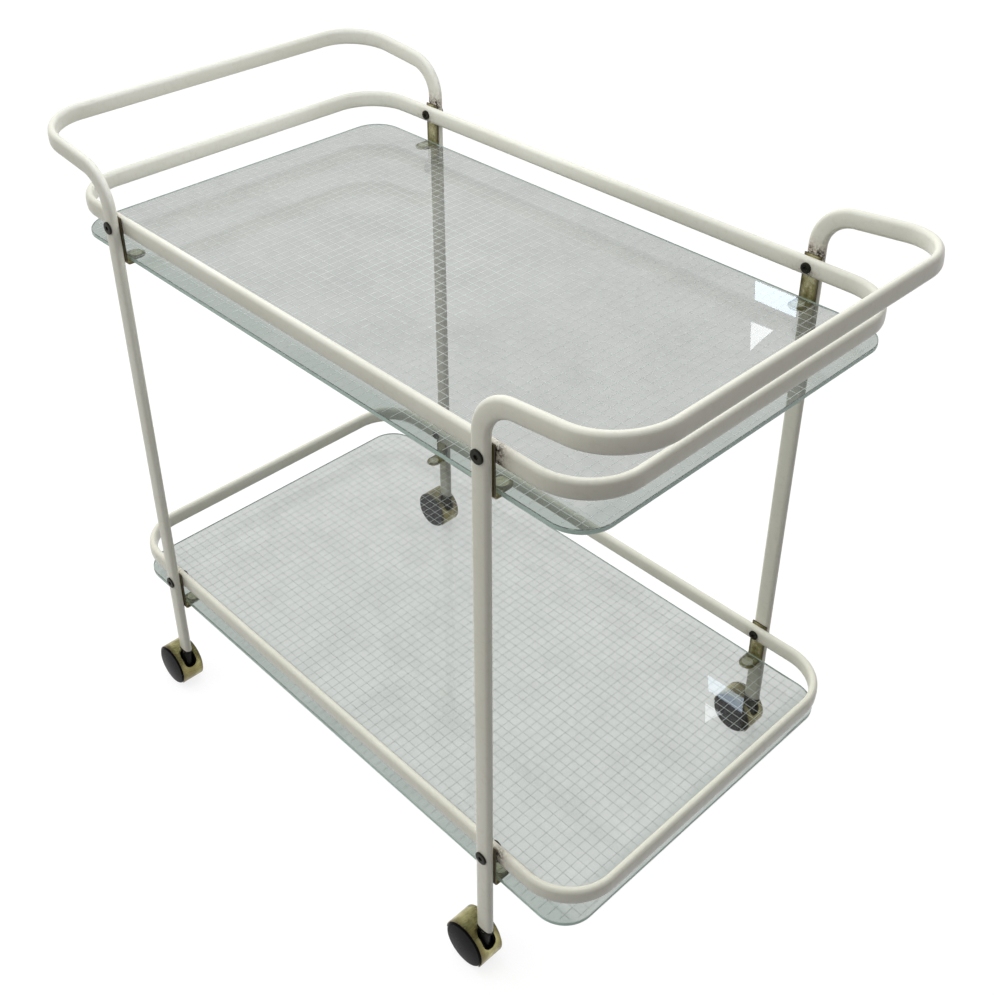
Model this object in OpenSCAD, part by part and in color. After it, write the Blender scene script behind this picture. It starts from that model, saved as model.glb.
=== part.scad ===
// Serving cart with two wired-glass shelves, bent tube handle frames and twin-wheel casters.
// X runs along the cart, Y across it and Z up. The origin is on the floor under the middle.

/* [Tube frame] */
// Distance from the rail's end in to the leg's centre
leg_inset = 123; // [90:1:200]
// Width over the outer faces of the legs
frame_w = 518; // [400:1:650]
// Wide side of the flat-oval tube
tube_w = 22; // [18:0.5:26]
// Narrow side of the flat-oval tube
tube_t = 10.5; // [10:0.5:13]
// Corner radius of the tube section
tube_r = 4.4; // [2:0.1:4.8]
// Wall thickness of the tube
tube_wall = 1.2; // [0.8:0.1:1.5]

/* [Handles] */
// Height of the handle bar's centre above the upper rail's centre
handle_rise = 79; // [70:1:110]
// Distance from the leg centre out to the handle bar's centre
handle_reach = 161.5; // [140:0.5:220]
// Upward tilt of the handle's plane, in degrees
handle_tilt = 6; // [0:1:12]
// Bend radius where a leg turns out into the handle, at the tube centre
leg_bend_r = 45; // [30:1:60]
// Bend radius at the handle's corners, at the tube centre
handle_corner_r = 64; // [40:1:75]

/* [Rails] */
// Length over the rails
rail_l = 868; // [800:1:960]
// Outer corner radius of the rails
rail_corner_r = 68; // [40:1:90]
// Height of the upper rail's centre above the floor
upper_rail_h = 740; // [600:1:900]
// Height of the lower rail's centre above the floor
lower_rail_h = 194; // [150:1:300]

/* [Glass shelves] */
// Glass thickness
glass_t = 6; // [4:0.5:10]
// Depth of the glass top below the rail's centre
glass_drop = 40; // [25:1:60]
// Distance from the rail's end in to the glass edge
glass_end_inset = 11.5; // [2:0.5:30]
// Distance from the bracket plate in to the glass edge
glass_side_inset = 4.5; // [4:0.5:9]
// Corner radius of the glass
glass_corner_r = 40; // [20:1:80]

/* [Brackets] */
// Bracket width along the rail
bracket_w = 22; // [18:0.5:26]
// Bracket plate thickness
bracket_t = 2; // [1.5:0.1:3]
// Height of the bracket's top edge above the rail
bracket_lip = 1; // [0:0.5:4]
// Inside radius where the bracket turns in under the glass
bracket_bend_r = 3; // [2:0.5:4]
// Length of the tab from the bracket plate to its round tip
tab_l = 28; // [22:1:40]
// Diameter of the soft pad between the tab and the glass
pad_d = 15; // [10:0.5:17]
// Thickness of the soft pad
pad_t = 1.2; // [0.5:0.1:3]

/* [Bolts] */
// Bolt shank diameter
bolt_d = 6; // [4:0.5:7]
// Diameter of the bolt head
head_d = 15.5; // [12:0.5:17]
// Height of the bolt head
head_h = 2; // [2:0.1:5]
// Edge rounding of the bolt heads and cap nuts
head_edge_r = 0.9; // [0.3:0.1:1.2]
// Hexagon socket across its corners
socket_d = 5.8; // [4:0.2:7]
// Depth of the hexagon socket
socket_depth = 1.6; // [0.5:0.1:1.6]
// Diameter of the cap nut's face
cap_d = 12.6; // [11:0.1:17]
// Height of the cap nut's face above the rail
cap_h = 2.4; // [2:0.1:4]
// Outside diameter of the cap nut's sleeve
sleeve_d = 8.6; // [8:0.1:10]
// Length of the cap nut's sleeve inside the rail
sleeve_l = 8; // [5:0.5:8]

/* [Casters] */
// Wheel diameter
wheel_d = 58; // [50:1:70]
// Width of one wheel
wheel_w = 13; // [10:0.5:15]
// Height of the dome on a wheel's outer face
wheel_dome = 1.6; // [0.8:0.1:2.5]
// Rounding of a wheel's outer edge
wheel_edge_r = 3.2; // [1:0.1:4]
// Thickness of a wheel's rim around its hollow inner side
wheel_rim = 5; // [3:0.5:8]
// Depth of the hollow in a wheel's inner side
wheel_dish = 5; // [2:0.5:6]
// Distance from the swivel axis to the axle
trail = 19.2; // [16:0.1:22]
// Width of the core's hub between the two wheels
core_w = 12.6; // [12:0.2:16]
// Width of the core's outer stretches, which carry the hood
web_w = 11.4; // [9:0.2:11.8]
// Radius of the core's hub
core_r = 22; // [16:0.5:23]
// Width of the hood band
hood_w = 32; // [26:0.5:38]
// Thickness of the hood band
hood_t = 1; // [0.8:0.1:2]
// Angle of the hood's front lip below the axle's level, in degrees
hood_front = 38; // [20:1:45]
// Angle of the hood's rear edge above the axle's level, in degrees
hood_rear = 6; // [0:1:30]
// Width of the pocket in the hood around the swivel stem
pocket_w = 19; // [14:0.5:22]
// Angle of the pocket's lower end above the axle's level, in degrees
pocket_end = 14; // [0:1:20]
// Diameter of the swivel stem
stem_d = 6; // [5:0.1:6]
// Length of the stem inside the leg
stem_grip = 26; // [15:1:40]
// Diameter of the collar on the stem
stem_collar_d = 10; // [8:0.5:14]
// Height of the collar on the stem
stem_collar_h = 2; // [1:0.1:2.5]
// Diameter of the boss around the stem
boss_d = 12; // [9:0.2:12]
// Depth of the boss and the stem below the axle's level
boss_low = 2; // [1:0.1:4]
// Diameter of the axle
axle_d = 6; // [4:0.5:8]
// Depth of the axle in each wheel
axle_seat = 7; // [5:0.5:8]
// Height of the collar of the plug in the leg's end
plug_collar_h = 4; // [2:0.5:8]
// Length of the plug inside the leg
plug_l = 30; // [15:1:40]

/* [Clearances] */
// Radial clearance of the turning stem and wheels
run_fit = 0.05; // [0.02:0.01:0.1]
// Clearance around parts that are pushed or bolted together
push_fit = 0.1; // [0.05:0.01:0.2]
// Gap between parts that turn against each other
side_gap = 0.4; // [0.3:0.05:0.8]
// Gap between the hood's top and the plug above it
top_gap = 3.6; // [1:0.1:8]

/* [Hidden] */
$fn = 64;
DOME_FACETS = 720;

// Signs of X and Y at the four corners
FRONT_LEFT = [-1, -1];
FRONT_RIGHT = [1, -1];
REAR_LEFT = [-1, 1];
REAR_RIGHT = [1, 1];
CORNERS = [FRONT_LEFT, FRONT_RIGHT, REAR_LEFT, REAR_RIGHT];

CREAM = [0.89, 0.87, 0.80];
BRASS = [0.62, 0.58, 0.36];
GLASS = [0.68, 0.78, 0.74, 0.6];
BLACK = [0.08, 0.08, 0.08];
STEEL = [0.55, 0.55, 0.54];
PAD = [0.30, 0.31, 0.29];

leg_x = rail_l / 2 - leg_inset;
leg_y = (frame_w - tube_t) / 2;
rail_w = frame_w - 2 * (tube_t + bracket_t);
glass_l = rail_l - 2 * glass_end_inset;
glass_w = rail_w - 2 * glass_side_inset;
wheel_r = wheel_d / 2;
hood_in_r = wheel_r + side_gap;
hood_out_r = hood_in_r + hood_t;
plug_low = wheel_r + hood_out_r + top_gap;
leg_end_h = plug_low + plug_collar_h;
handle_run = (handle_reach - leg_bend_r * (1 - sin(handle_tilt))) / cos(handle_tilt) - handle_corner_r;
bend_start_h = upper_rail_h + handle_rise - leg_bend_r * cos(handle_tilt)
  - (handle_run + handle_corner_r) * sin(handle_tilt);
tab_top = -(glass_drop + glass_t + pad_t);
boss_top_h = plug_low - side_gap - stem_collar_h;
pocket_top_angle = acos((trail - pocket_w / 2) / hood_in_r);
cut = 1;
// A bend is this much slimmer on each side, and runs this many degrees into the straight tube
bend_step = 0.02;
bend_lap = 0.6;
// The pocket's slot is this much narrower on each side than its round hole
slot_step = 0.2;

// Flat-oval outline, a along the first axis and b along the second
module oval(a, b, r) {
  square([a - 2 * r, b], center = true);
  square([a, b - 2 * r], center = true);
  for (i = [-1, 1], j = [-1, 1])
    translate([i * (a / 2 - r), j * (b / 2 - r)]) circle(r);
}

// Rectangle with round corners, centred
module round_plate(l, w, r) {
  square([l - 2 * r, w], center = true);
  square([l, w - 2 * r], center = true);
  for (i = [-1, 1], j = [-1, 1])
    translate([i * (l / 2 - r), j * (w / 2 - r)]) circle(r);
}

// Disc with a rounded upper edge, standing on its flat face
module round_disc(d, h, r) {
  rotate_extrude() {
    square([d / 2 - r, h]);
    square([d / 2, h - r]);
    translate([d / 2 - r, h - r]) circle(r);
  }
}

// Stretch of solid tube along +X from the origin, its wide side upright
module run(length, w, t, r) {
  rotate([90, 0, 90]) linear_extrude(length) oval(t, w, r);
}

// Half of a handle frame, from one leg's end to the middle of the handle bar
module half_handle(w, t, r, end_h) {
  translate([leg_x, -leg_y, end_h]) linear_extrude(bend_start_h - end_h) oval(w, t, r);
  translate([leg_x + leg_bend_r, -leg_y, bend_start_h]) {
    rotate([90, 0, 0]) rotate([0, 0, 90 + handle_tilt - bend_lap])
      rotate_extrude(angle = 90 - handle_tilt + 2 * bend_lap) translate([leg_bend_r, 0])
        oval(w - 2 * bend_step, t - 2 * bend_step, r - bend_step);
    rotate([0, -handle_tilt, 0]) translate([0, 0, leg_bend_r]) {
      run(handle_run, w, t, r);
      translate([handle_run, handle_corner_r, 0]) rotate([0, 0, -90])
        rotate_extrude(angle = 90) translate([handle_corner_r, 0]) oval(t, w, r);
      translate([handle_run + handle_corner_r, handle_corner_r, 0]) rotate([0, 0, 90])
        run(leg_y - handle_corner_r, w, t, r);
    }
  }
}

module handle_path(w, t, r, end_h) {
  half_handle(w, t, r, end_h);
  mirror([0, 1, 0]) half_handle(w, t, r, end_h);
}

module right_frame() {
  difference() {
    handle_path(tube_w, tube_t, tube_r, leg_end_h);
    handle_path(tube_w - 2 * tube_wall, tube_t - 2 * tube_wall, tube_r - tube_wall, leg_end_h - cut);
    for (side = [-1, 1], h = [lower_rail_h, upper_rail_h])
      translate([leg_x, side * leg_y, h]) rotate([90, 0, 0])
        cylinder(d = bolt_d + 2 * push_fit, h = tube_t + 2 * cut, center = true);
  }
}

module right_handle_frame() { color(CREAM) right_frame(); }

module left_handle_frame() { color(CREAM) mirror([1, 0, 0]) right_frame(); }

// Closed ring of solid tube, lying flat, with its outer face at the given size
module ring_path(w, t, r) {
  bend_r = rail_corner_r - tube_t / 2;
  side_l = rail_l - 2 * rail_corner_r;
  end_l = rail_w - 2 * rail_corner_r;
  for (s = [0, 1]) rotate([0, 0, 180 * s]) {
    translate([-side_l / 2, -(rail_w - tube_t) / 2, 0]) run(side_l, w, t, r);
    translate([(rail_l - tube_t) / 2, -end_l / 2, 0]) rotate([0, 0, 90]) run(end_l, w, t, r);
    translate([side_l / 2, -end_l / 2, 0]) rotate([0, 0, -90])
      rotate_extrude(angle = 90) translate([bend_r, 0]) oval(t, w, r);
    translate([side_l / 2, end_l / 2, 0])
      rotate_extrude(angle = 90) translate([bend_r, 0]) oval(t, w, r);
  }
}

module rail(h) {
  translate([0, 0, h]) color(CREAM) difference() {
    ring_path(tube_w, tube_t, tube_r);
    ring_path(tube_w - 2 * tube_wall, tube_t - 2 * tube_wall, tube_r - tube_wall);
    for (corner = CORNERS) facing_in(corner) {
      translate([0, bracket_t - cut, 0]) along_y(bolt_d + 2 * push_fit, tube_t / 2 + cut);
      translate([0, bracket_t + tube_t / 2, 0]) along_y(sleeve_d + 2 * push_fit, tube_t / 2 + cut);
    }
  }
}

// Puts a child at a leg's inner face, with local +Y pointing in under the shelf
module facing_in(corner) {
  translate([corner[0] * leg_x, corner[1] * (frame_w / 2 - tube_t), 0])
    mirror([0, corner[1] > 0 ? 1 : 0, 0]) children();
}

// Cylinder along +Y from the local origin
module along_y(d, length) {
  rotate([-90, 0, 0]) cylinder(d = d, h = length);
}

module glass(h) {
  color(GLASS) translate([0, 0, h - glass_drop - glass_t])
    linear_extrude(glass_t) round_plate(glass_l, glass_w, glass_corner_r);
}

// Bent strip that hangs between a leg and the rail and carries the glass on its tab
module bracket(corner, h) {
  bend_h = tab_top + bracket_bend_r;
  top_h = tube_w / 2 + bracket_lip;
  tip_y = bracket_t + tab_l - bracket_w / 2;
  color(BRASS) translate([0, 0, h]) facing_in(corner) difference() {
    union() {
      translate([-bracket_w / 2, 0, bend_h]) cube([bracket_w, bracket_t, top_h - bend_h]);
      translate([-bracket_w / 2, bracket_t + bracket_bend_r, bend_h]) rotate([0, 90, 0]) rotate([0, 0, -90])
        rotate_extrude(angle = 90) translate([bracket_bend_r, 0]) square([bracket_t, bracket_w]);
      translate([0, 0, tab_top - bracket_t]) {
        translate([-bracket_w / 2, bracket_t + bracket_bend_r, 0])
          cube([bracket_w, tip_y - bracket_t - bracket_bend_r, bracket_t]);
        translate([0, tip_y, 0]) cylinder(d = bracket_w, h = bracket_t);
      }
    }
    translate([0, -cut, 0]) along_y(bolt_d + 2 * push_fit, bracket_t + 2 * cut);
  }
}

module glass_pads(h) {
  color(PAD) translate([0, 0, h + tab_top])
    for (corner = CORNERS) facing_in(corner)
      translate([0, bracket_t + tab_l - bracket_w / 2, 0]) cylinder(d = pad_d, h = pad_t);
}

// Socket-head bolt from the leg's outer face into the cap nut's sleeve
module bolts(h) {
  shank_l = tube_t + bracket_t + tube_t - 2 * tube_wall;
  color(BLACK) translate([0, 0, h])
    for (corner = CORNERS) facing_in(corner) translate([0, -tube_t, 0]) difference() {
      union() {
        rotate([90, 0, 0]) round_disc(head_d, head_h, head_edge_r);
        along_y(bolt_d, shank_l);
      }
      translate([0, -head_h - cut, 0]) rotate([-90, 0, 0])
        cylinder(d = socket_d, h = socket_depth + cut, $fn = 6);
    }
}

// Cap nut on the rail's inner face, its sleeve inside the rail
module cap_nuts(h) {
  color(BLACK) translate([0, 0, h])
    for (corner = CORNERS) facing_in(corner) translate([0, bracket_t + tube_t, 0]) difference() {
      union() {
        rotate([-90, 0, 0]) round_disc(cap_d, cap_h, head_edge_r);
        translate([0, -sleeve_l, 0]) along_y(sleeve_d, sleeve_l);
      }
      translate([0, -sleeve_l - cut, 0]) along_y(bolt_d + 2 * push_fit, sleeve_l + cut);
      translate([0, cap_h - socket_depth, 0]) rotate([-90, 0, 0])
        cylinder(d = socket_d, h = socket_depth + cut, $fn = 6);
    }
}

module at_leg(corner) {
  translate([corner[0] * leg_x, corner[1] * leg_y, 0]) children();
}

// Puts a child on the axle, which trails behind the swivel axis towards -X
module at_axle(corner) {
  at_leg(corner) translate([-trail, 0, wheel_r]) children();
}

// Plug in the leg's open end, with the swivel stem's bore
module leg_plug(corner) {
  gap = 2 * (tube_wall + push_fit);
  color(BLACK) at_leg(corner) difference() {
    union() {
      translate([0, 0, plug_low]) linear_extrude(plug_collar_h) oval(tube_w, tube_t, tube_r);
      translate([0, 0, leg_end_h])
        linear_extrude(plug_l) oval(tube_w - gap, tube_t - gap, tube_r - tube_wall);
    }
    translate([0, 0, plug_low - cut])
      cylinder(d = stem_d + 2 * run_fit, h = plug_collar_h + plug_l + 2 * cut);
  }
}

module caster_stem(corner) {
  color(STEEL) at_leg(corner) {
    translate([0, 0, wheel_r - boss_low])
      cylinder(d = stem_d, h = leg_end_h + stem_grip - wheel_r + boss_low);
    translate([0, 0, boss_top_h]) cylinder(d = stem_collar_d, h = stem_collar_h);
  }
}

// Piece of a ring round the axle, between two angles seen from -Y with 0 towards +X
module ring_piece(in_r, out_r, w, from, to) {
  rotate([90, 0, 0]) translate([0, 0, -w / 2]) rotate([0, 0, from])
    rotate_extrude(angle = to - from) translate([in_r, 0]) square([out_r - in_r, w]);
}

// Body between the wheels: hub, the two stretches that carry the hood, and the stem's boss
module caster_core(corner) {
  boss_h = boss_top_h - wheel_r + boss_low;
  color(BLACK) at_axle(corner) difference() {
    union() {
      rotate([90, 0, 0]) cylinder(r = core_r, h = core_w, center = true);
      ring_piece(core_r / 2, hood_in_r - push_fit, web_w, pocket_top_angle, 180 - hood_rear);
      ring_piece(core_r / 2, hood_in_r - push_fit, web_w, -hood_front, pocket_end);
      translate([trail, 0, -boss_low]) cylinder(d = boss_d, h = boss_h);
    }
    rotate([90, 0, 0]) cylinder(d = axle_d + 2 * push_fit, h = core_w + 2 * cut, center = true);
    translate([trail, 0, -boss_low - push_fit]) cylinder(d = stem_d + 2 * push_fit, h = boss_h + cut);
  }
}

module caster_hood(corner) {
  slot_w = pocket_w - 2 * slot_step;
  slot_low = hood_out_r * sin(pocket_end);
  color(BRASS) at_axle(corner) difference() {
    ring_piece(hood_in_r, hood_out_r, hood_w, -hood_front, 180 - hood_rear);
    translate([trail, 0, 0]) cylinder(d = pocket_w, h = hood_out_r + cut);
    translate([trail, 0, 0]) rotate([90, 0, 90]) linear_extrude(hood_out_r) {
      translate([0, slot_low + slot_w / 2]) circle(d = slot_w);
      translate([-slot_w / 2, slot_low + slot_w / 2]) square([slot_w, hood_out_r]);
    }
  }
}

module caster_axle(corner) {
  color(STEEL) at_axle(corner) rotate([90, 0, 0])
    cylinder(d = axle_d, h = core_w + 2 * (side_gap + axle_seat - push_fit), center = true);
}

// Half section of a wheel, from its inner face up to its domed outer face
module wheel_section() {
  edge_h = wheel_w - wheel_dome;
  face_r = wheel_r - wheel_edge_r;
  dome_r = (face_r * face_r + wheel_dome * wheel_dome) / (2 * wheel_dome);
  bore_r = axle_d / 2 + run_fit;
  hub_r = axle_d;
  // The dome's arc ends this far inside the rounding, so that the two cross cleanly
  dome_lap = wheel_edge_r / 16;
  difference() {
    union() {
      square([wheel_r, edge_h - wheel_edge_r]);
      translate([face_r, edge_h - wheel_edge_r]) circle(wheel_edge_r);
      intersection() {
        translate([0, wheel_w - dome_r]) circle(dome_r, $fn = DOME_FACETS);
        square([face_r + dome_lap, wheel_w]);
      }
    }
    translate([0, -cut]) square([bore_r, axle_seat + cut]);
    translate([hub_r, -cut]) square([face_r - wheel_rim - hub_r, wheel_dish + cut]);
  }
}

module wheel(corner, side) {
  color(BLACK) at_axle(corner) rotate([-90 * side, 0, 0])
    translate([0, 0, core_w / 2 + side_gap]) rotate_extrude() wheel_section();
}

module upper_rail() { rail(upper_rail_h); }
module lower_rail() { rail(lower_rail_h); }
module upper_glass() { glass(upper_rail_h); }
module lower_glass() { glass(lower_rail_h); }
module upper_bolts() { bolts(upper_rail_h); }
module lower_bolts() { bolts(lower_rail_h); }
module upper_cap_nuts() { cap_nuts(upper_rail_h); }
module lower_cap_nuts() { cap_nuts(lower_rail_h); }
module upper_glass_pads() { glass_pads(upper_rail_h); }
module lower_glass_pads() { glass_pads(lower_rail_h); }

left_handle_frame();
right_handle_frame();
upper_rail();
lower_rail();
upper_glass();
lower_glass();
bracket(FRONT_LEFT, upper_rail_h);  // upper_bracket_front_left
bracket(FRONT_RIGHT, upper_rail_h);  // upper_bracket_front_right
bracket(REAR_LEFT, upper_rail_h);  // upper_bracket_rear_left
bracket(REAR_RIGHT, upper_rail_h);  // upper_bracket_rear_right
bracket(FRONT_LEFT, lower_rail_h);  // lower_bracket_front_left
bracket(FRONT_RIGHT, lower_rail_h);  // lower_bracket_front_right
bracket(REAR_LEFT, lower_rail_h);  // lower_bracket_rear_left
bracket(REAR_RIGHT, lower_rail_h);  // lower_bracket_rear_right
upper_bolts();
lower_bolts();
upper_cap_nuts();
lower_cap_nuts();
upper_glass_pads();
lower_glass_pads();
leg_plug(FRONT_LEFT);  // leg_plug_front_left
leg_plug(FRONT_RIGHT);  // leg_plug_front_right
leg_plug(REAR_LEFT);  // leg_plug_rear_left
leg_plug(REAR_RIGHT);  // leg_plug_rear_right
caster_stem(FRONT_LEFT);  // caster_stem_front_left
caster_stem(FRONT_RIGHT);  // caster_stem_front_right
caster_stem(REAR_LEFT);  // caster_stem_rear_left
caster_stem(REAR_RIGHT);  // caster_stem_rear_right
caster_core(FRONT_LEFT);  // caster_core_front_left
caster_core(FRONT_RIGHT);  // caster_core_front_right
caster_core(REAR_LEFT);  // caster_core_rear_left
caster_core(REAR_RIGHT);  // caster_core_rear_right
caster_hood(FRONT_LEFT);  // caster_hood_front_left
caster_hood(FRONT_RIGHT);  // caster_hood_front_right
caster_hood(REAR_LEFT);  // caster_hood_rear_left
caster_hood(REAR_RIGHT);  // caster_hood_rear_right
caster_axle(FRONT_LEFT);  // caster_axle_front_left
caster_axle(FRONT_RIGHT);  // caster_axle_front_right
caster_axle(REAR_LEFT);  // caster_axle_rear_left
caster_axle(REAR_RIGHT);  // caster_axle_rear_right
wheel(FRONT_LEFT, -1);  // outer_wheel_front_left
wheel(FRONT_RIGHT, -1);  // outer_wheel_front_right
wheel(REAR_LEFT, 1);  // outer_wheel_rear_left
wheel(REAR_RIGHT, 1);  // outer_wheel_rear_right
wheel(FRONT_LEFT, 1);  // inner_wheel_front_left
wheel(FRONT_RIGHT, 1);  // inner_wheel_front_right
wheel(REAR_LEFT, -1);  // inner_wheel_rear_left
wheel(REAR_RIGHT, -1);  // inner_wheel_rear_right
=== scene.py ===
import math

import bmesh
import bpy
from mathutils import Matrix, Vector


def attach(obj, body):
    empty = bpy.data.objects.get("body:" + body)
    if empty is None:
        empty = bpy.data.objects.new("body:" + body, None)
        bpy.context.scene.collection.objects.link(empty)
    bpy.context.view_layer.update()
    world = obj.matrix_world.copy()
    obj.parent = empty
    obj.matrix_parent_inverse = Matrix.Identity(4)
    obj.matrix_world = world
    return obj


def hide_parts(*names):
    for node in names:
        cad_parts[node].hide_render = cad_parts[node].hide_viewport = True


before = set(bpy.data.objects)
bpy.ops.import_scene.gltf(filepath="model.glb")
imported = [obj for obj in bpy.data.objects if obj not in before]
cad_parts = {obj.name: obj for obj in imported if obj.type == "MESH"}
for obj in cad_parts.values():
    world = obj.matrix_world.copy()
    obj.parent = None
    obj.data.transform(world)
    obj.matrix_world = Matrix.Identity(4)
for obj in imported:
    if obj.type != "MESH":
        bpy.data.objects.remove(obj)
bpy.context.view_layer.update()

MM = 0.001

# Sizes of the cart, in millimetres, as in the part's source
LEG_X = 311.0
LEG_Y = 253.75
FRAME_W = 518.0
TUBE_W = 22.0
TUBE_T = 10.5
TUBE_R = 4.4
TUBE_WALL = 1.2
LEG_END = 67.0
LEG_HOLLOW = 34.0
HANDLE_TILT = math.radians(6.0)
LEG_BEND_R = 45.0
HANDLE_CORNER_R = 64.0
HANDLE_REACH = 161.5
HANDLE_RISE = 79.0
RAIL_L = 868.0
RAIL_W = 493.0
RAIL_CORNER_R = 68.0
RAIL_H = {"upper": 740.0, "lower": 194.0}
GLASS_L = 845.0
GLASS_W = 484.0
GLASS_T = 6.0
GLASS_DROP = 40.0
GLASS_CORNER_R = 40.0
GLASS_ARRIS = 0.7
BRACKET_W = 22.0
BRACKET_T = 2.0
BRACKET_LIP = 1.0
BRACKET_BEND_R = 3.0
BRACKET_EDGE = 0.35
TAB_L = 28.0
TAB_TIP_W = 0.8
PAD_T = 1.2
TAB_LOW = RAIL_H["lower"] - GLASS_DROP - GLASS_T - PAD_T - BRACKET_T
LEVEL_STEP = RAIL_H["upper"] - RAIL_H["lower"]
HEAD_D = 15.5
HEAD_H = 2.0
CAP_D = 12.6
CAP_H = 2.4
HEAD_EDGE_R = 0.9
SOCKET_D = 5.8
SOCKET_DEPTH = 1.6
SOCKET_RIM = 0.25
SOCKET_CONE = 0.4
WHEEL_R = 29.0
WHEEL_W = 13.0
WHEEL_DOME = 1.6
WHEEL_EDGE_R = 3.2
WHEEL_RIM = 5.0
WHEEL_DISH = 5.0
WHEEL_ARRIS = 0.6
HUB_R = 6.0
AXLE_BORE_R = 3.05
AXLE_SEAT = 7.0
TRAIL = 19.2
CORE_W = 12.6
HOOD_W = 32.0
HOOD_T = 1.0
POCKET_W = 19.0
HOOD_EDGE = 0.22
SIDE_GAP = 0.4
WIRE_PITCH = 12.5
WIRE_SHIFT = 2.75
WIRE_R = 0.30
WIRE_INSET = 5.0
WIRE_LIFT = 0.27

# Angles of the hood round the axle, in degrees
HOOD_FRONT = 38.0
HOOD_REAR = 6.0
POCKET_END = 14.0

# Share by which the tube is thinner at its edges than in its middle
TUBE_CROWN = 0.22

CORNERS = {
    "front_left": (-1, -1),
    "front_right": (1, -1),
    "rear_left": (-1, 1),
    "rear_right": (1, 1),
}


# Mesh helpers


def new_object(name, verts, faces, sharp_angle=None):
    """Smooth object from vertices in millimetres; edges sharper than the angle in degrees stay sharp."""
    mesh = bpy.data.meshes.new(name)
    mesh.from_pydata([Vector(v) * MM for v in verts], [], faces)
    mesh.validate()
    mesh.polygons.foreach_set("use_smooth", [True] * len(mesh.polygons))
    if sharp_angle is not None:
        mesh.set_sharp_from_angle(angle=math.radians(sharp_angle))
    mesh.update()
    obj = bpy.data.objects.new(name, mesh)
    bpy.context.collection.objects.link(obj)
    return obj


def rounded_outline(width, height, radius, steps, flats=1):
    """Anticlockwise outline of a rectangle with round corners; flats is the number of steps on a side."""
    points = []
    for quarter, (sx, sy) in enumerate(((1, 1), (-1, 1), (-1, -1), (1, -1))):
        cx, cy = sx * (width / 2 - radius), sy * (height / 2 - radius)
        for k in range(steps + 1):
            a = math.pi / 2 * (quarter + k / steps)
            points.append((cx + radius * math.cos(a), cy + radius * math.sin(a)))
    dense = []
    for i, p in enumerate(points):
        q = points[(i + 1) % len(points)]
        dense.append(p)
        if i % (steps + 1) == steps:
            for k in range(1, flats):
                t = k / flats
                dense.append((p[0] + (q[0] - p[0]) * t, p[1] + (q[1] - p[1]) * t))
    return dense


def sweep(stations, outline, closed):
    """Skin over outlines placed at stations of (origin, first axis, second axis)."""
    verts, faces = [], []
    n = len(outline)
    for origin, u, v in stations:
        for a, b in outline:
            verts.append(origin + u * a + v * b)
    count = len(stations)
    for i in range(count if closed else count - 1):
        j = (i + 1) % count
        for k in range(n):
            m = (k + 1) % n
            faces.append((i * n + k, i * n + m, j * n + m, j * n + k))
    return verts, faces


def layer_faces(layers, count):
    """Faces between layers of vertices, each with the same count, and a lid on the first and the last."""
    faces = []
    for i in range(layers - 1):
        for k in range(count):
            m = (k + 1) % count
            faces.append((i * count + k, (i + 1) * count + k, (i + 1) * count + m, i * count + m))
    faces.append(tuple(range(count)))
    last = (layers - 1) * count
    faces.append(tuple(last + k for k in reversed(range(count))))
    return faces


def merge(*parts):
    """One part out of several pairs of vertices and faces."""
    verts, faces = [], []
    for v, f in parts:
        base = len(verts)
        verts.extend(v)
        faces.extend(tuple(i + base for i in face) for face in f)
    return verts, faces


def lathe(profile, segments):
    """Profile of (radius, height) turned round Z; points on the axis become one vertex."""
    verts, faces, rings = [], [], []
    for r, h in profile:
        if r == 0:
            rings.append([len(verts)])
            verts.append(Vector((0, 0, h)))
        else:
            start = len(verts)
            for s in range(segments):
                a = 2 * math.pi * s / segments
                verts.append(Vector((r * math.cos(a), r * math.sin(a), h)))
            rings.append(list(range(start, start + segments)))
    for low, high in zip(rings, rings[1:]):
        for s in range(segments):
            t = (s + 1) % segments
            if len(low) == 1:
                faces.append((low[0], high[t], high[s]))
            elif len(high) == 1:
                faces.append((low[s], low[t], high[0]))
            else:
                faces.append((low[s], low[t], high[t], high[s]))
    return verts, faces


def placed(part, matrix):
    """The part moved by the matrix, with its faces turned over if the matrix mirrors it."""
    verts, faces = part
    moved = [matrix @ Vector(v) for v in verts]
    if matrix.determinant() < 0:
        faces = [tuple(reversed(f)) for f in faces]
    return moved, faces


def arc(cx, cy, radius, start, end, steps):
    """Points on an arc, angles in degrees."""
    out = []
    for k in range(steps + 1):
        a = math.radians(start + (end - start) * k / steps)
        out.append((cx + radius * math.cos(a), cy + radius * math.sin(a)))
    return out


def finish_piece(obj, body, slot, material, *nodes):
    """Gives the piece its material and body, and hides the nodes that it stands for; the slot is not used.
    """
    obj.data.materials.append(material)
    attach(obj, body)
    if nodes:
        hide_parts(*nodes)


# Materials


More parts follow.
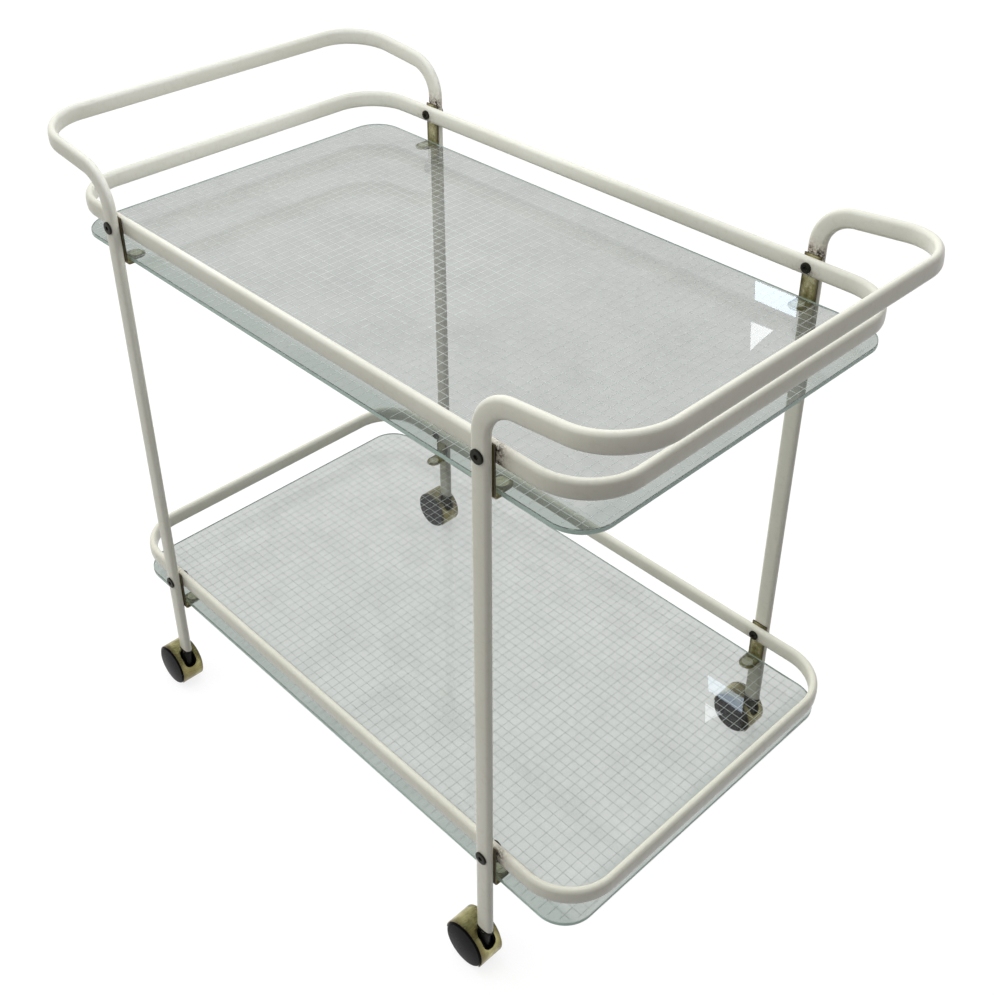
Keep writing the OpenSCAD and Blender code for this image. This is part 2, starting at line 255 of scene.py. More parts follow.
class Nodes:
    """Adds shader nodes to a new material or world and links them."""

    def __init__(self, name, store=bpy.data.materials, output="ShaderNodeOutputMaterial"):
        self.owner = store.new(name)
        self.owner.use_nodes = True
        self.tree = self.owner.node_tree
        self.tree.nodes.clear()
        self.out = self.add(output)

    def add(self, kind, **settings):
        node = self.tree.nodes.new(kind)
        for key, value in settings.items():
            setattr(node, key, value)
        return node

    def feed(self, socket, value):
        """Links the value to the socket or sets it there; a colour of three numbers gets an alpha of 1."""
        if isinstance(value, bpy.types.NodeSocket):
            self.tree.links.new(value, socket)
        elif isinstance(value, tuple) and len(value) == 3 and len(socket.default_value) == 4:
            socket.default_value = (*value, 1.0)
        else:
            socket.default_value = value

    def node(self, kind, inputs, **settings):
        """A node with its inputs fed from a dictionary of socket names or numbers."""
        node = self.add(kind, **settings)
        for key, value in inputs.items():
            self.feed(node.inputs[key], value)
        return node.outputs

    def coords(self):
        return self.add("ShaderNodeTexCoord").outputs["Object"]

    def axes(self, vector):
        return self.node("ShaderNodeSeparateXYZ", {0: vector})

    def normal(self):
        return self.axes(self.add("ShaderNodeNewGeometry").outputs["Normal"])

    def scaled(self, vector, scale):
        return self.node("ShaderNodeMapping", {"Scale": scale, "Vector": vector})["Vector"]

    def noise(self, vector, scale, detail=4.0, rough=0.55):
        inputs = {"Vector": vector, "Scale": scale, "Detail": detail, "Roughness": rough}
        return self.node("ShaderNodeTexNoise", inputs)["Fac"]

    def ramp(self, fac, *stops):
        """Colour ramp from (position, colour) pairs; a number means grey."""
        node = self.add("ShaderNodeValToRGB")
        elements = node.color_ramp.elements
        while len(elements) < len(stops):
            elements.new(0.5)
        for element, (position, colour) in zip(elements, stops):
            element.position = position
            if isinstance(colour, (int, float)):
                colour = (colour, colour, colour)
            element.color = (*colour, 1.0)
        self.feed(node.inputs["Fac"], fac)
        return node.outputs["Color"]

    def mix(self, fac, a, b, blend="MIX"):
        # Sockets 0, 6 and 7 are the factor and the two colours, and output 2 is the mixed colour
        return self.node("ShaderNodeMix", {0: fac, 6: a, 7: b}, data_type="RGBA", blend_type=blend)[2]

    def math(self, operation, a, b=0.5):
        return self.node("ShaderNodeMath", {0: a, 1: b}, operation=operation)[0]

    def remap(self, value, low, high, to_low=0.0, to_high=1.0, curve="LINEAR"):
        inputs = {"Value": value, "From Min": low, "From Max": high, "To Min": to_low, "To Max": to_high}
        return self.node("ShaderNodeMapRange", inputs, interpolation_type=curve)["Result"]

    def bump(self, height, strength, distance, **normal):
        inputs = {"Strength": strength, "Distance": distance, "Height": height, **normal}
        return self.node("ShaderNodeBump", inputs)["Normal"]

    def principled(self, inputs):
        return self.node("ShaderNodeBsdfPrincipled", inputs)["BSDF"]

    def blend(self, fac, a, b):
        return self.node("ShaderNodeMixShader", {0: fac, 1: a, 2: b})[0]

    def done(self, shader):
        self.feed(self.out.inputs["Surface"], shader)
        return self.owner


def srgb(r, g, b):
    """Linear colour of an 8-bit sRGB triple."""
    out = []
    for c in (r, g, b):
        c /= 255
        out.append(c / 12.92 if c <= 0.04045 else ((c + 0.055) / 1.055) ** 2.4)
    return tuple(out)


def shaded(colour, share):
    return tuple(c * share for c in colour)


def spot_mask(m, at, radius, softness, wobble):
    """1 near any of the points, 0 away from them; the noise makes the edge uneven."""
    position = m.coords()
    total = 0.0
    for point in at:
        place = tuple(c * MM for c in point)
        far = m.node("ShaderNodeVectorMath", {0: position, 1: place}, operation="DISTANCE")["Value"]
        total = m.math("MAXIMUM", m.remap(far, (radius + softness) * MM, radius * MM), total)
    return m.math("MULTIPLY", total, wobble)


def cream_paint(name, stained_and_shaded):
    """Old enamel: faint dirt, small chips, and brown stains and rust flecks near the given points, where
    rails, legs and brackets meet; there they are partly rust and dirt and partly painted shade.
    """
    m = Nodes(name)
    p = m.coords()
    broad = m.noise(p, 9.0, 3.0)
    fine = m.noise(p, 160.0, 5.0, 0.6)
    specks = m.noise(p, 620.0, 3.0, 0.5)
    base = m.ramp(broad, (0.30, srgb(224, 221, 207)), (0.70, srgb(231, 228, 216)))
    dirt = m.ramp(fine, (0.52, 0.0), (0.80, 0.35))
    colour = m.mix(dirt, base, srgb(205, 199, 178))
    chips = m.ramp(specks, (0.735, 0.0), (0.755, 1.0))
    sparse = m.ramp(m.noise(p, 30.0, 2.0), (0.60, 0.0), (0.66, 1.0))
    chip_mask = m.math("MULTIPLY", chips, sparse)
    colour = m.mix(chip_mask, colour, srgb(112, 98, 78))
    wobble = m.ramp(m.noise(p, 240.0, 5.0, 0.7), (0.38, 0.10), (0.62, 1.0))
    # Brown stain and dark flecks near the points: partly rust and dirt, partly painted shade where the
    # parts meet
    stain_and_shade = spot_mask(m, stained_and_shaded, 4.0, 20.0, wobble)
    colour = m.mix(m.math("MULTIPLY", stain_and_shade, 0.7), colour, srgb(160, 138, 120))
    flecks = m.ramp(m.noise(p, 380.0, 4.0, 0.65), (0.46, 0.0), (0.53, 1.0))
    rust = spot_mask(m, stained_and_shaded, 3.0, 9.0, flecks)
    colour = m.mix(rust, colour, srgb(50, 36, 26))
    rough = m.ramp(fine, (0.35, 0.30), (0.75, 0.42))
    peel = m.bump(m.noise(p, 420.0, 2.0, 0.4), 0.10, 0.0004)
    pit = m.bump(chip_mask, 0.5, 0.0002, Normal=peel)
    return m.done(m.principled({
        "Base Color": colour,
        "Roughness": rough,
        "IOR": 1.5,
        "Specular IOR Level": 0.38,
        "Coat Weight": 0.12,
        "Coat Roughness": 0.18,
        "Normal": pit,
    }))


def aged_brass(name, light, mid, dark):
    """Brass with a pale worn middle, browner towards its long edges and nearly black on its cut edges."""
    m = Nodes(name)
    p = m.coords()
    blotch = m.noise(p, 85.0, 5.0, 0.65)
    fine = m.noise(p, 520.0, 4.0, 0.6)
    streak = m.noise(m.scaled(p, (260.0, 260.0, 40.0)), 1.0, 3.0)
    colour = m.ramp(blotch, (0.34, dark), (0.48, mid), (0.60, light))
    rust = m.ramp(fine, (0.56, 0.0), (0.70, 0.8))
    colour = m.mix(rust, colour, srgb(74, 62, 34))
    colour = m.mix(m.ramp(streak, (0.45, 0.0), (0.75, 0.45)), colour, light)
    place = m.axes(p)
    across = m.math("SUBTRACT", m.math("ABSOLUTE", place["X"]), LEG_X * MM)
    across = m.math("DIVIDE", m.math("ABSOLUTE", across), BRACKET_W / 2 * MM)
    uneven = m.math("ADD", across, m.math("MULTIPLY", m.math("SUBTRACT", blotch, 0.5), 0.7))
    colour = m.mix(m.ramp(uneven, (0.55, 0.0), (0.95, 0.85)), colour, srgb(92, 82, 54))
    facing = m.normal()
    cut = m.math("MAXIMUM", m.math("ABSOLUTE", facing["X"]), facing["Z"])
    cut = m.ramp(cut, (0.45, 0.0), (0.75, 0.9))
    low = m.math("MODULO", m.math("ADD", place["Z"], -TAB_LOW * MM), LEVEL_STEP * MM)
    # The tabs under the glass keep the brass look on their edges
    cut = m.math("MULTIPLY", cut, m.ramp(low, (0.005, 0.0), (0.008, 1.0)))
    colour = m.mix(cut, colour, m.ramp(fine, (0.42, srgb(36, 29, 21)), (0.62, srgb(72, 60, 43))))
    rough = m.ramp(blotch, (0.35, 0.55), (0.68, 0.32))
    return m.done(m.principled({
        "Base Color": colour,
        "Metallic": m.ramp(cut, (0.0, 0.6), (1.0, 0.2)),
        "Roughness": rough,
        "Normal": m.bump(fine, 0.25, 0.0003),
    }))


def bright_brass(name):
    """Brushed brass with darker patches, spots and long edges."""
    m = Nodes(name)
    p = m.coords()
    blotch = m.noise(p, 60.0, 4.0)
    scratch = m.noise(m.scaled(p, (1400.0, 120.0, 1400.0)), 1.0, 2.0)
    colour = m.ramp(blotch, (0.38, srgb(150, 143, 96)), (0.62, srgb(186, 180, 130)))
    patina = m.ramp(m.noise(p, 28.0, 2.0), (0.48, 0.0), (0.62, 0.75))
    colour = m.mix(patina, colour, srgb(112, 102, 62))
    spots = m.ramp(m.noise(p, 150.0, 4.0, 0.6), (0.56, 0.0), (0.70, 0.5))
    colour = m.mix(spots, colour, srgb(96, 86, 54))
    place = m.axes(p)
    across = m.math("SUBTRACT", m.math("ABSOLUTE", place["Y"]), LEG_Y * MM)
    across = m.math("DIVIDE", m.math("ABSOLUTE", across), HOOD_W / 2 * MM)
    colour = m.mix(m.ramp(across, (0.60, 0.0), (1.0, 0.7)), colour, srgb(84, 72, 42))
    rough = m.ramp(scratch, (0.35, 0.22), (0.70, 0.38))
    return m.done(m.principled({
        "Base Color": colour,
        "Metallic": 0.9,
        "Roughness": rough,
        "Normal": m.bump(scratch, 0.06, 0.0002),
    }))


def black_gloss(name, shade, rough_low, rough_high, specular):
    """Black moulding or enamel with a little dust."""
    m = Nodes(name)
    p = m.coords()
    dust = m.noise(p, 210.0, 5.0, 0.65)
    colour = m.ramp(dust, (0.50, shade), (0.85, tuple(c * 2.5 + 0.003 for c in shade)))
    rough = m.ramp(m.noise(p, 90.0, 4.0), (0.35, rough_low), (0.75, rough_high))
    return m.done(m.principled({
        "Base Color": colour,
        "Roughness": rough,
        "IOR": 1.5,
        "Specular IOR Level": specular,
        "Normal": m.bump(dust, 0.05, 0.0002),
    }))


def plain_metal(name, low, high):
    """Bare steel with a fine grain between two shades."""
    m = Nodes(name)
    p = m.coords()
    grain = m.noise(p, 700.0, 3.0)
    return m.done(m.principled({
        "Base Color": m.ramp(grain, (0.3, low), (0.7, high)),
        "Metallic": 1.0,
        "Roughness": m.ramp(grain, (0.3, 0.30), (0.7, 0.45)),
    }))


def clear_glass(name, tint_and_shade, border_shade, edge):
    """Glass with painted shade of the rails along its front and right borders, and a pale green ground
    edge.
    """
    m = Nodes(name)
    p = m.coords()
    rim = m.ramp(m.math("ABSOLUTE", m.normal()["Z"]), (0.25, 1.0), (0.80, 0.0))
    smear = m.noise(p, 14.0, 4.0, 0.6)
    colour = m.mix(m.ramp(smear, (0.4, 0.0), (0.7, 1.0)), shaded(tint_and_shade, 1.03), shaded(tint_and_shade, 0.94))
    film = m.ramp(m.noise(p, 70.0, 5.0, 0.65), (0.50, 0.0), (0.66, 0.5))
    colour = m.mix(film, colour, shaded(tint_and_shade, 1.14))
    place = m.axes(p)
    # Painted shade: the glass is darker along its front and right borders, under the rails
    front = m.ramp(m.math("MULTIPLY", place["Y"], -1.0), *zip(GLASS_SHADE_FRONT, (0.0, 1.0)))
    right = m.ramp(place["X"], *zip(GLASS_SHADE_RIGHT, (0.0, 1.0)))
    near = m.math("MAXIMUM", front, m.math("MULTIPLY", right, 0.65))
    near = m.math("MULTIPLY", near, m.ramp(smear, (0.25, 0.75), (0.6, 1.0)))
    colour = m.mix(near, colour, border_shade)
    ground = m.noise(p, 90.0, 3.0)
    shader = m.principled({
        "Base Color": m.mix(rim, colour, m.mix(ground, edge, shaded(edge, 0.9))),
        "Roughness": m.mix(rim, m.ramp(smear, (0.40, 0.0), (0.80, 0.035)), (0.45, 0.45, 0.45)),
        "IOR": 1.5,
        "Transmission Weight": m.ramp(rim, (0.0, 1.0), (1.0, 0.12)),
    })
    # Light that reaches the pieces under the glass passes straight through it
    clear = m.node("ShaderNodeBsdfTransparent", {"Color": (0.955, 0.97, 0.96)})[0]
    path = m.add("ShaderNodeLightPath").outputs
    passing = m.math("MAXIMUM", path["Is Shadow Ray"], path["Is Diffuse Ray"])
    return m.done(m.blend(passing, shader, clear))


def wire_metal(name, low, high):
    """Pale zinc of the mesh, which has no mirror gloss inside the glass."""
    m = Nodes(name)
    p = m.coords()
    grain = m.noise(p, 300.0, 3.0)
    return m.done(m.principled({
        "Base Color": m.ramp(grain, (0.3, low), (0.7, high)),
        "Roughness": m.ramp(grain, (0.3, 0.45), (0.7, 0.6)),
    }))


def matt(name, low, high, specular):
    """Matt moulding or pad, paler where dust lies."""
    m = Nodes(name)
    p = m.coords()
    dust = m.noise(p, 260.0, 5.0, 0.65)
    return m.done(m.principled({
        "Base Color": m.ramp(dust, (0.40, low), (0.80, high)),
        "Roughness": m.ramp(dust, (0.3, 0.55), (0.8, 0.8)),
        "Specular IOR Level": specular,
        "Normal": m.bump(dust, 0.15, 0.0003),
    }))


def rail_stains_and_shade(height):
    """Points of stain and painted shade beside the front brackets on the outer face, and under the rear
    ones on the inner face.
    """
    front = [(side * (LEG_X + 12), -RAIL_W / 2, height + dz) for side in (-1, 1) for dz in (-8, 4)]
    rear = [(side * LEG_X, RAIL_W / 2 - TUBE_T, height - TUBE_W / 2) for side in (-1, 1)]
    return front + rear


def frame_stains_and_shade():
    """Points of stain and painted shade just above the rear brackets of the upper rail."""
    height = RAIL_H["upper"] + 13
    return [(side * LEG_X + dx, LEG_Y - TUBE_T / 2, height) for side in (-1, 1) for dx in (-6, 6)]


MAT_RAIL = {
    level: cream_paint(f"cream_paint_{level}_rail", rail_stains_and_shade(height)) for level, height in RAIL_H.items()
}
MAT_FRAME = cream_paint("cream_paint_frame", frame_stains_and_shade())
MAT_BRASS = aged_brass("aged_brass_bracket", srgb(206, 200, 160), srgb(158, 150, 104), srgb(104, 96, 60))
MAT_HOOD = bright_brass("aged_brass_hood")
MAT_BOLT = black_gloss("black_bolt", (0.018, 0.017, 0.012), 0.35, 0.50, 0.10)
MAT_WHEEL = black_gloss("black_wheel_gloss", (0.003, 0.003, 0.003), 0.16, 0.32, 0.03)
MAT_CORE = black_gloss("black_core", (0.006, 0.006, 0.005), 0.30, 0.45, 0.1)
MAT_STEEL = plain_metal("steel_pin_metal", srgb(120, 120, 118), srgb(170, 170, 168))
# The sheets are tinted much darker than clear glass, and the upper one darker than the lower: the glass's
# own tint together with painted shade of the floor seen through them
GLASS_TINT_AND_SHADE = {"upper": (0.53, 0.545, 0.53), "lower": (0.60, 0.62, 0.605)}
# Where the painted shade of the rails on the glass starts and is full, in metres from the middle of the
# cart
GLASS_SHADE_FRONT = (0.205, 0.222)
GLASS_SHADE_RIGHT = (0.385, 0.402)
# The first colour after the tint is the painted shade along the borders under the rails, the second is the
# ground edge
MAT_GLASS = {
    level: clear_glass(f"wired_glass_{level}", tint_and_shade, (0.40, 0.445, 0.42), (0.53, 0.68, 0.62))
    for level, tint_and_shade in GLASS_TINT_AND_SHADE.items()
}
# The lower mesh is a darker copy of the same wire: painted shade on the lower shelf
MAT_WIRE = {
    "upper": wire_metal("mesh_wire_upper", srgb(226, 229, 227), srgb(244, 246, 244)),
    "lower": wire_metal("mesh_wire_lower_shaded", srgb(186, 190, 188), srgb(208, 211, 209)),
}
MAT_MATT = matt("black_moulding_matt", (0.010, 0.009, 0.008), (0.034, 0.030, 0.024), 0.1)
MAT_PAD = matt("soft_pad_matt", srgb(176, 173, 146), srgb(206, 204, 182), 0.3)


# Tube frame


def handle_stations():
    """Centre line of the right-hand frame from the front leg's end to the rear leg's end."""
    tilt = HANDLE_TILT
    run = (HANDLE_REACH - LEG_BEND_R * (1 - math.sin(tilt))) / math.cos(tilt) - HANDLE_CORNER_R
    bend_h = (
        RAIL_H["upper"] + HANDLE_RISE - LEG_BEND_R * math.cos(tilt)
        - (run + HANDLE_CORNER_R) * math.sin(tilt)
    )
    out = Vector((math.cos(tilt), 0, math.sin(tilt)))
    up = Vector((-math.sin(tilt), 0, math.cos(tilt)))
    y_axis = Vector((0, 1, 0))
    stations = []

    def put(origin, wide, narrow):
        stations.append((origin, wide, narrow))

    # The wide side of the section is along X on the leg, and turns with the bend
    rows = 26
    for k in range(rows):
        z = LEG_END + (bend_h - LEG_END) * k / rows
        put(Vector((LEG_X, -LEG_Y, z)), Vector((1, 0, 0)), y_axis)
    centre = Vector((LEG_X + LEG_BEND_R, -LEG_Y, bend_h))
    steps = 28
    for k in range(steps + 1):
        a = math.pi - (math.pi / 2 - tilt) * k / steps
        radial = Vector((math.cos(a), 0, math.sin(a)))
        put(centre + radial * LEG_BEND_R, -radial, y_axis)
    start = centre + up * LEG_BEND_R
    for k in range(1, 5):
        put(start + out * (run * k / 5), -up, y_axis)
    corner = start + out * run + y_axis * HANDLE_CORNER_R
    steps = 32
    for k in range(steps + 1):
        a = -math.pi / 2 + math.pi / 2 * k / steps
        radial = out * math.cos(a) + y_axis * math.sin(a)
        put(corner + radial * HANDLE_CORNER_R, -up, -radial)
    half = LEG_Y - HANDLE_CORNER_R
    end = start + out * (run + HANDLE_CORNER_R)
    for k in range(1, 8):
        put(end + y_axis * (HANDLE_CORNER_R + half * k / 8), -up, -out)
    mirrored = []
    for origin, wide, narrow in reversed(stations):
        mirrored.append(tuple(Vector((v.x, -v.y, v.z)) for v in (origin, wide, narrow)))
    stations.append((end + y_axis * LEG_Y, -up, -out))
    return stations + mirrored


def tube(stations, closed):
    """Flat-oval tube with slightly crowned wide sides; an open one is hollow at both ends."""
    outer = [
        (a, b * (1 - TUBE_CROWN * (2 * a / TUBE_W) ** 2))
        for a, b in rounded_outline(TUBE_W, TUBE_T, TUBE_R, 8, 9)
    ]
    verts, faces = sweep(stations, outer, closed)
    if closed:
        return verts, faces
    n = len(outer)
    inner = []
    for a, b in outer:
        length = math.hypot(a / TUBE_W, b / TUBE_T)
        inner.append((a - TUBE_WALL * a / TUBE_W / length, b - TUBE_WALL * b / TUBE_T / length))
    base = len(verts)
    for origin, u, v in (stations[0], stations[-1]):
        for height in (0.0, LEG_HOLLOW):
            verts.extend(origin + u * a + v * b + Vector((0, 0, height)) for a, b in inner)
    last = (len(stations) - 1) * n
    for end, ring in ((0, 0), (1, last)):
        rim = base + end * 2 * n
        for k in range(n):
            m = (k + 1) % n
            quad = (ring + k, rim + k, rim + m, ring + m)
            faces.append(quad if end == 0 else tuple(reversed(quad)))
            quad = (rim + k, rim + n + k, rim + n + m, rim + m)
            faces.append(quad if end == 0 else tuple(reversed(quad)))
        lid = tuple(rim + n + k for k in range(n))
        faces.append(lid if end == 1 else tuple(reversed(lid)))
    return verts, faces


right = tube(handle_stations(), False)
MIRROR_X = Matrix.Diagonal((-1, 1, 1, 1))
for side, part in (("right", right), ("left", placed(right, MIRROR_X))):
    obj = new_object(f"{side}_handle_tube", *part, sharp_angle=50)
    finish_piece(obj, "cart", "cream_paint", MAT_FRAME, f"{side}_handle_frame")


def rail_stations(height):
    """Centre line of a rail, anticlockwise from the bend at the rear right."""
    stations = []
    bend = RAIL_CORNER_R - TUBE_T / 2
    hx, hy = RAIL_L / 2 - RAIL_CORNER_R, RAIL_W / 2 - RAIL_CORNER_R
    up = Vector((0, 0, 1))
    steps = 32
    for quarter, (sx, sy) in enumerate(((1, 1), (-1, 1), (-1, -1), (1, -1))):
        for k in range(steps + 1):
            a = math.pi / 2 * (quarter + k / steps)
            radial = Vector((math.cos(a), math.sin(a), 0))
            stations.append((Vector((sx * hx, sy * hy, height)) + radial * bend, up, radial))
        a = math.pi / 2 * (quarter + 1)
        radial = Vector((math.cos(a), math.sin(a), 0))
        along = Vector((-radial.y, radial.x, 0))
        length = 2 * (hx if quarter in (0, 2) else hy)
        start = Vector((sx * hx, sy * hy, height)) + radial * bend
        for k in range(1, 12):
            stations.append((start + along * (length * k / 12), up, radial))
    return stations


for level, height in RAIL_H.items():
    obj = new_object(f"{level}_rail_tube", *tube(rail_stations(height), True), sharp_angle=50)
    finish_piece(obj, "cart", "cream_paint", MAT_RAIL[level], f"{level}_rail")


# Glass shelves


def glass_plate(top):
    """Plate with ground edges: the arrises are taken off and the edge is slightly crowned."""
    # Depth under the top face and inset of the outline there
    layers = (
        (0.0, GLASS_ARRIS), (GLASS_ARRIS, 0.12), (GLASS_T * 0.3, 0.04), (GLASS_T / 2, 0.0),
        (GLASS_T * 0.7, 0.04), (GLASS_T - GLASS_ARRIS, 0.12), (GLASS_T, GLASS_ARRIS),
    )
    verts = []
    for depth, inset in layers:
        ring = rounded_outline(GLASS_L - 2 * inset, GLASS_W - 2 * inset, GLASS_CORNER_R - inset, 24)
        verts.extend(Vector((x, y, top - depth)) for x, y in ring)
    return verts, layer_faces(len(layers), len(ring))


def wire_mesh(centre_z):
    """Square welded mesh: straight wires one way just over those the other way."""
    sides = 6
    hx, hy, r = GLASS_L / 2 - WIRE_INSET, GLASS_W / 2 - WIRE_INSET, GLASS_CORNER_R - WIRE_INSET

    def half_length(offset, across, along):
        """Half of a wire's length, shorter where it ends at a round corner."""
        straight = across - r
        if abs(offset) <= straight:
            return along
        d = abs(offset) - straight
        return along - r + math.sqrt(max(r * r - d * d, 0.0))

    parts = []
    for direction in (0, 1):
        across, along = (hy, hx) if direction == 0 else (hx, hy)
        count = int(across / WIRE_PITCH)
        z = centre_z + (WIRE_LIFT if direction == 0 else -WIRE_LIFT)
        for i in range(-count, count + 1):
            offset = i * WIRE_PITCH + WIRE_SHIFT
            if abs(offset) > across - 1:
                continue
            half = half_length(offset, across, along)
            verts, faces = [], []
            for end in (-half, half):
                for s in range(sides):
                    a = 2 * math.pi * (s + 0.5) / sides
                    c, q = offset + WIRE_R * math.cos(a), z + WIRE_R * math.sin(a)
                    verts.append(Vector((end, c, q)) if direction == 0 else Vector((c, end, q)))
            for s in range(sides):
                t = (s + 1) % sides
                faces.append((s, t, sides + t, sides + s))
            faces.append(tuple(reversed(range(sides))))
            faces.append(tuple(range(sides, 2 * sides)))
            if direction == 0:
                faces = [tuple(reversed(f)) for f in faces]
            parts.append((verts, faces))
    return merge(*parts)


for level, height in RAIL_H.items():
    top = height - GLASS_DROP
    plate = new_object(f"{level}_glass_sheet", *glass_plate(top), sharp_angle=20)
    finish_piece(plate, "cart", "wired_glass", MAT_GLASS[level], f"{level}_glass")
    wires = new_object(f"{level}_glass_mesh", *wire_mesh(top - GLASS_T / 2), sharp_angle=70)
    finish_piece(wires, "cart", "steel_pin", MAT_WIRE[level])


# Brackets


def bracket_part(height):
    """Strip bent in under the glass, in the frame of a leg's inner face with Y inwards."""
    tab_top = -(GLASS_DROP + GLASS_T + PAD_T)
    bend = BRACKET_BEND_R
    top = TUBE_W / 2 + BRACKET_LIP
    half = BRACKET_W / 2
    centre = (BRACKET_T + bend, tab_top + bend)
    stations = []
    for k in range(9):
        t = k / 8
        stations.append((Vector((0, 0, top + (tab_top + bend - top) * t)), Vector((0, 1, 0)), half))
    for k in range(1, 13):
        a = math.radians(180 + 90 * k / 12)
        radial = Vector((0, math.cos(a), math.sin(a)))
        origin = Vector((0, centre[0], centre[1])) + radial * (bend + BRACKET_T)
        stations.append((origin, -radial, half))
    tip_y = BRACKET_T + TAB_L - half
    low = tab_top - BRACKET_T
    for k in range(1, 4):
        y = centre[0] + (tip_y - centre[0]) * k / 3
        stations.append((Vector((0, y, low)), Vector((0, 0, 1)), half))
    steps = 20
    for k in range(1, steps + 1):
        a = math.pi / 2 * k / steps
        y, w = tip_y + half * math.sin(a), half * math.cos(a)
        stations.append((Vector((0, y, low)), Vector((0, 0, 1)), w))
    verts = []
    for origin, inward, w in stations:
        w = max(w, TAB_TIP_W / 2)
        e = min(BRACKET_EDGE, w / 2)
        ring = (
            (-w + e, 0.0), (w - e, 0.0), (w, e), (w, BRACKET_T - e),
            (w - e, BRACKET_T), (-w + e, BRACKET_T), (-w, BRACKET_T - e), (-w, e),
        )
        verts.extend(origin + Vector((x, 0, height)) + inward * d for x, d in ring)
    return verts, layer_faces(len(stations), len(ring))


def facing_in(sx, sy):
    """Matrix from a leg's inner face, Y pointing inwards, to the row frame."""
    place = Matrix.Translation((sx * LEG_X, sy * (FRAME_W / 2 - TUBE_T), 0))
    if sy > 0:
        return place @ Matrix.Diagonal((1, -1, 1, 1))
    return place


for level, height in RAIL_H.items():
    for corner, (sx, sy) in CORNERS.items():
        part = placed(bracket_part(height), facing_in(sx, sy))
        obj = new_object(f"{level}_bracket_strip_{corner}", *part, sharp_angle=25)
        finish_piece(obj, "cart", "aged_brass", MAT_BRASS, f"{level}_bracket_{corner}")


# Bolts


def socket_disc(diameter, height, edge, socket, depth, segments):
    """Round head with a hexagon socket in its face; the face points along +Z, the back is at 0."""
    radius = diameter / 2
    verts, faces = lathe([(radius * 0.4, 0.0), (radius, 0.0), (radius, height - edge)], segments)
    angles = [2 * math.pi * s / segments for s in range(segments)]

    def add_ring(radii, z):
        """Joins a new ring of vertices to the last one."""
        last, start = len(verts) - segments, len(verts)
        verts.extend(Vector((r * math.cos(t), r * math.sin(t), z)) for r, t in zip(radii, angles))
        for s in range(segments):
            t = (s + 1) % segments
            faces.append((last + s, last + t, start + t, start + s))

    def hexagon(angle):
        step = math.pi / 3
        local = (angle % step) - step / 2
        return socket / 2 * math.cos(step / 2) / math.cos(local)

    for k in range(1, 7):
        a = math.pi / 2 * k / 6
        add_ring([radius - edge + edge * math.cos(a)] * segments, height - edge + edge * math.sin(a))
    for wider, z in ((SOCKET_RIM, height), (0.0, height - SOCKET_RIM), (0.0, height - depth)):
        add_ring([hexagon(t) + wider for t in angles], z)
    last, centre = len(verts) - segments, len(verts)
    verts.append(Vector((0, 0, height - depth - SOCKET_CONE)))
    faces += [(last + s, last + (s + 1) % segments, centre) for s in range(segments)]
    faces.append(tuple(reversed(range(segments))))
    return verts, faces


def on_faces(part, depth, turned):
    """The same part on all four legs, its back at a distance inwards from the leg's inner face."""
    out = []
    for sx, sy in CORNERS.values():
        spin = Matrix.Rotation(math.radians(90 if turned else -90), 4, "X")
        local = Matrix.Translation((0, depth, 0)) @ spin
        out.append(placed(part, facing_in(sx, sy) @ local))
    return out


for level, height in RAIL_H.items():
    lift = Matrix.Translation((0, 0, height))
    head = socket_disc(HEAD_D, HEAD_H, HEAD_EDGE_R, SOCKET_D, SOCKET_DEPTH, 48)
    heads = merge(*(placed(p, lift) for p in on_faces(head, -TUBE_T, True)))
    obj = new_object(f"{level}_bolt_heads", *heads, sharp_angle=35)
    finish_piece(obj, "cart", "black_fastener", MAT_BOLT, f"{level}_bolts")
    cap = socket_disc(CAP_D, CAP_H, HEAD_EDGE_R, SOCKET_D, SOCKET_DEPTH, 48)
    caps = merge(*(placed(p, lift) for p in on_faces(cap, BRACKET_T + TUBE_T, False)))
    obj = new_object(f"{level}_cap_nut_faces", *caps, sharp_angle=35)
    finish_piece(obj, "cart", "black_fastener", MAT_BOLT, f"{level}_cap_nuts")


# Casters


def wheel_part():
    """Domed wheel with a dished inner side, round Z; the inner side is at 0 and faces down."""
    face_r = WHEEL_R - WHEEL_EDGE_R
    edge_h = WHEEL_W - WHEEL_DOME
    dome_r = (face_r * face_r + WHEEL_DOME * WHEEL_DOME) / (2 * WHEEL_DOME)
    profile = [(0.0, AXLE_SEAT), (AXLE_BORE_R, AXLE_SEAT), (AXLE_BORE_R, 0.0), (HUB_R, 0.0)]
    profile += [(HUB_R, WHEEL_DISH), (face_r - WHEEL_RIM, WHEEL_DISH), (face_r - WHEEL_RIM, 0.0)]
    ease = WHEEL_ARRIS / 4
    profile += [(WHEEL_R - WHEEL_ARRIS, 0.0), (WHEEL_R - ease, ease), (WHEEL_R, WHEEL_ARRIS)]
    profile += arc(face_r, edge_h - WHEEL_EDGE_R, WHEEL_EDGE_R, 0, 90, 12)
    for k in range(1, 15):
        r = face_r * (1 - k / 15)
        profile.append((r, WHEEL_W - dome_r + math.sqrt(dome_r * dome_r - r * r)))
    profile.append((0.0, WHEEL_W))
    return lathe(profile, 96)


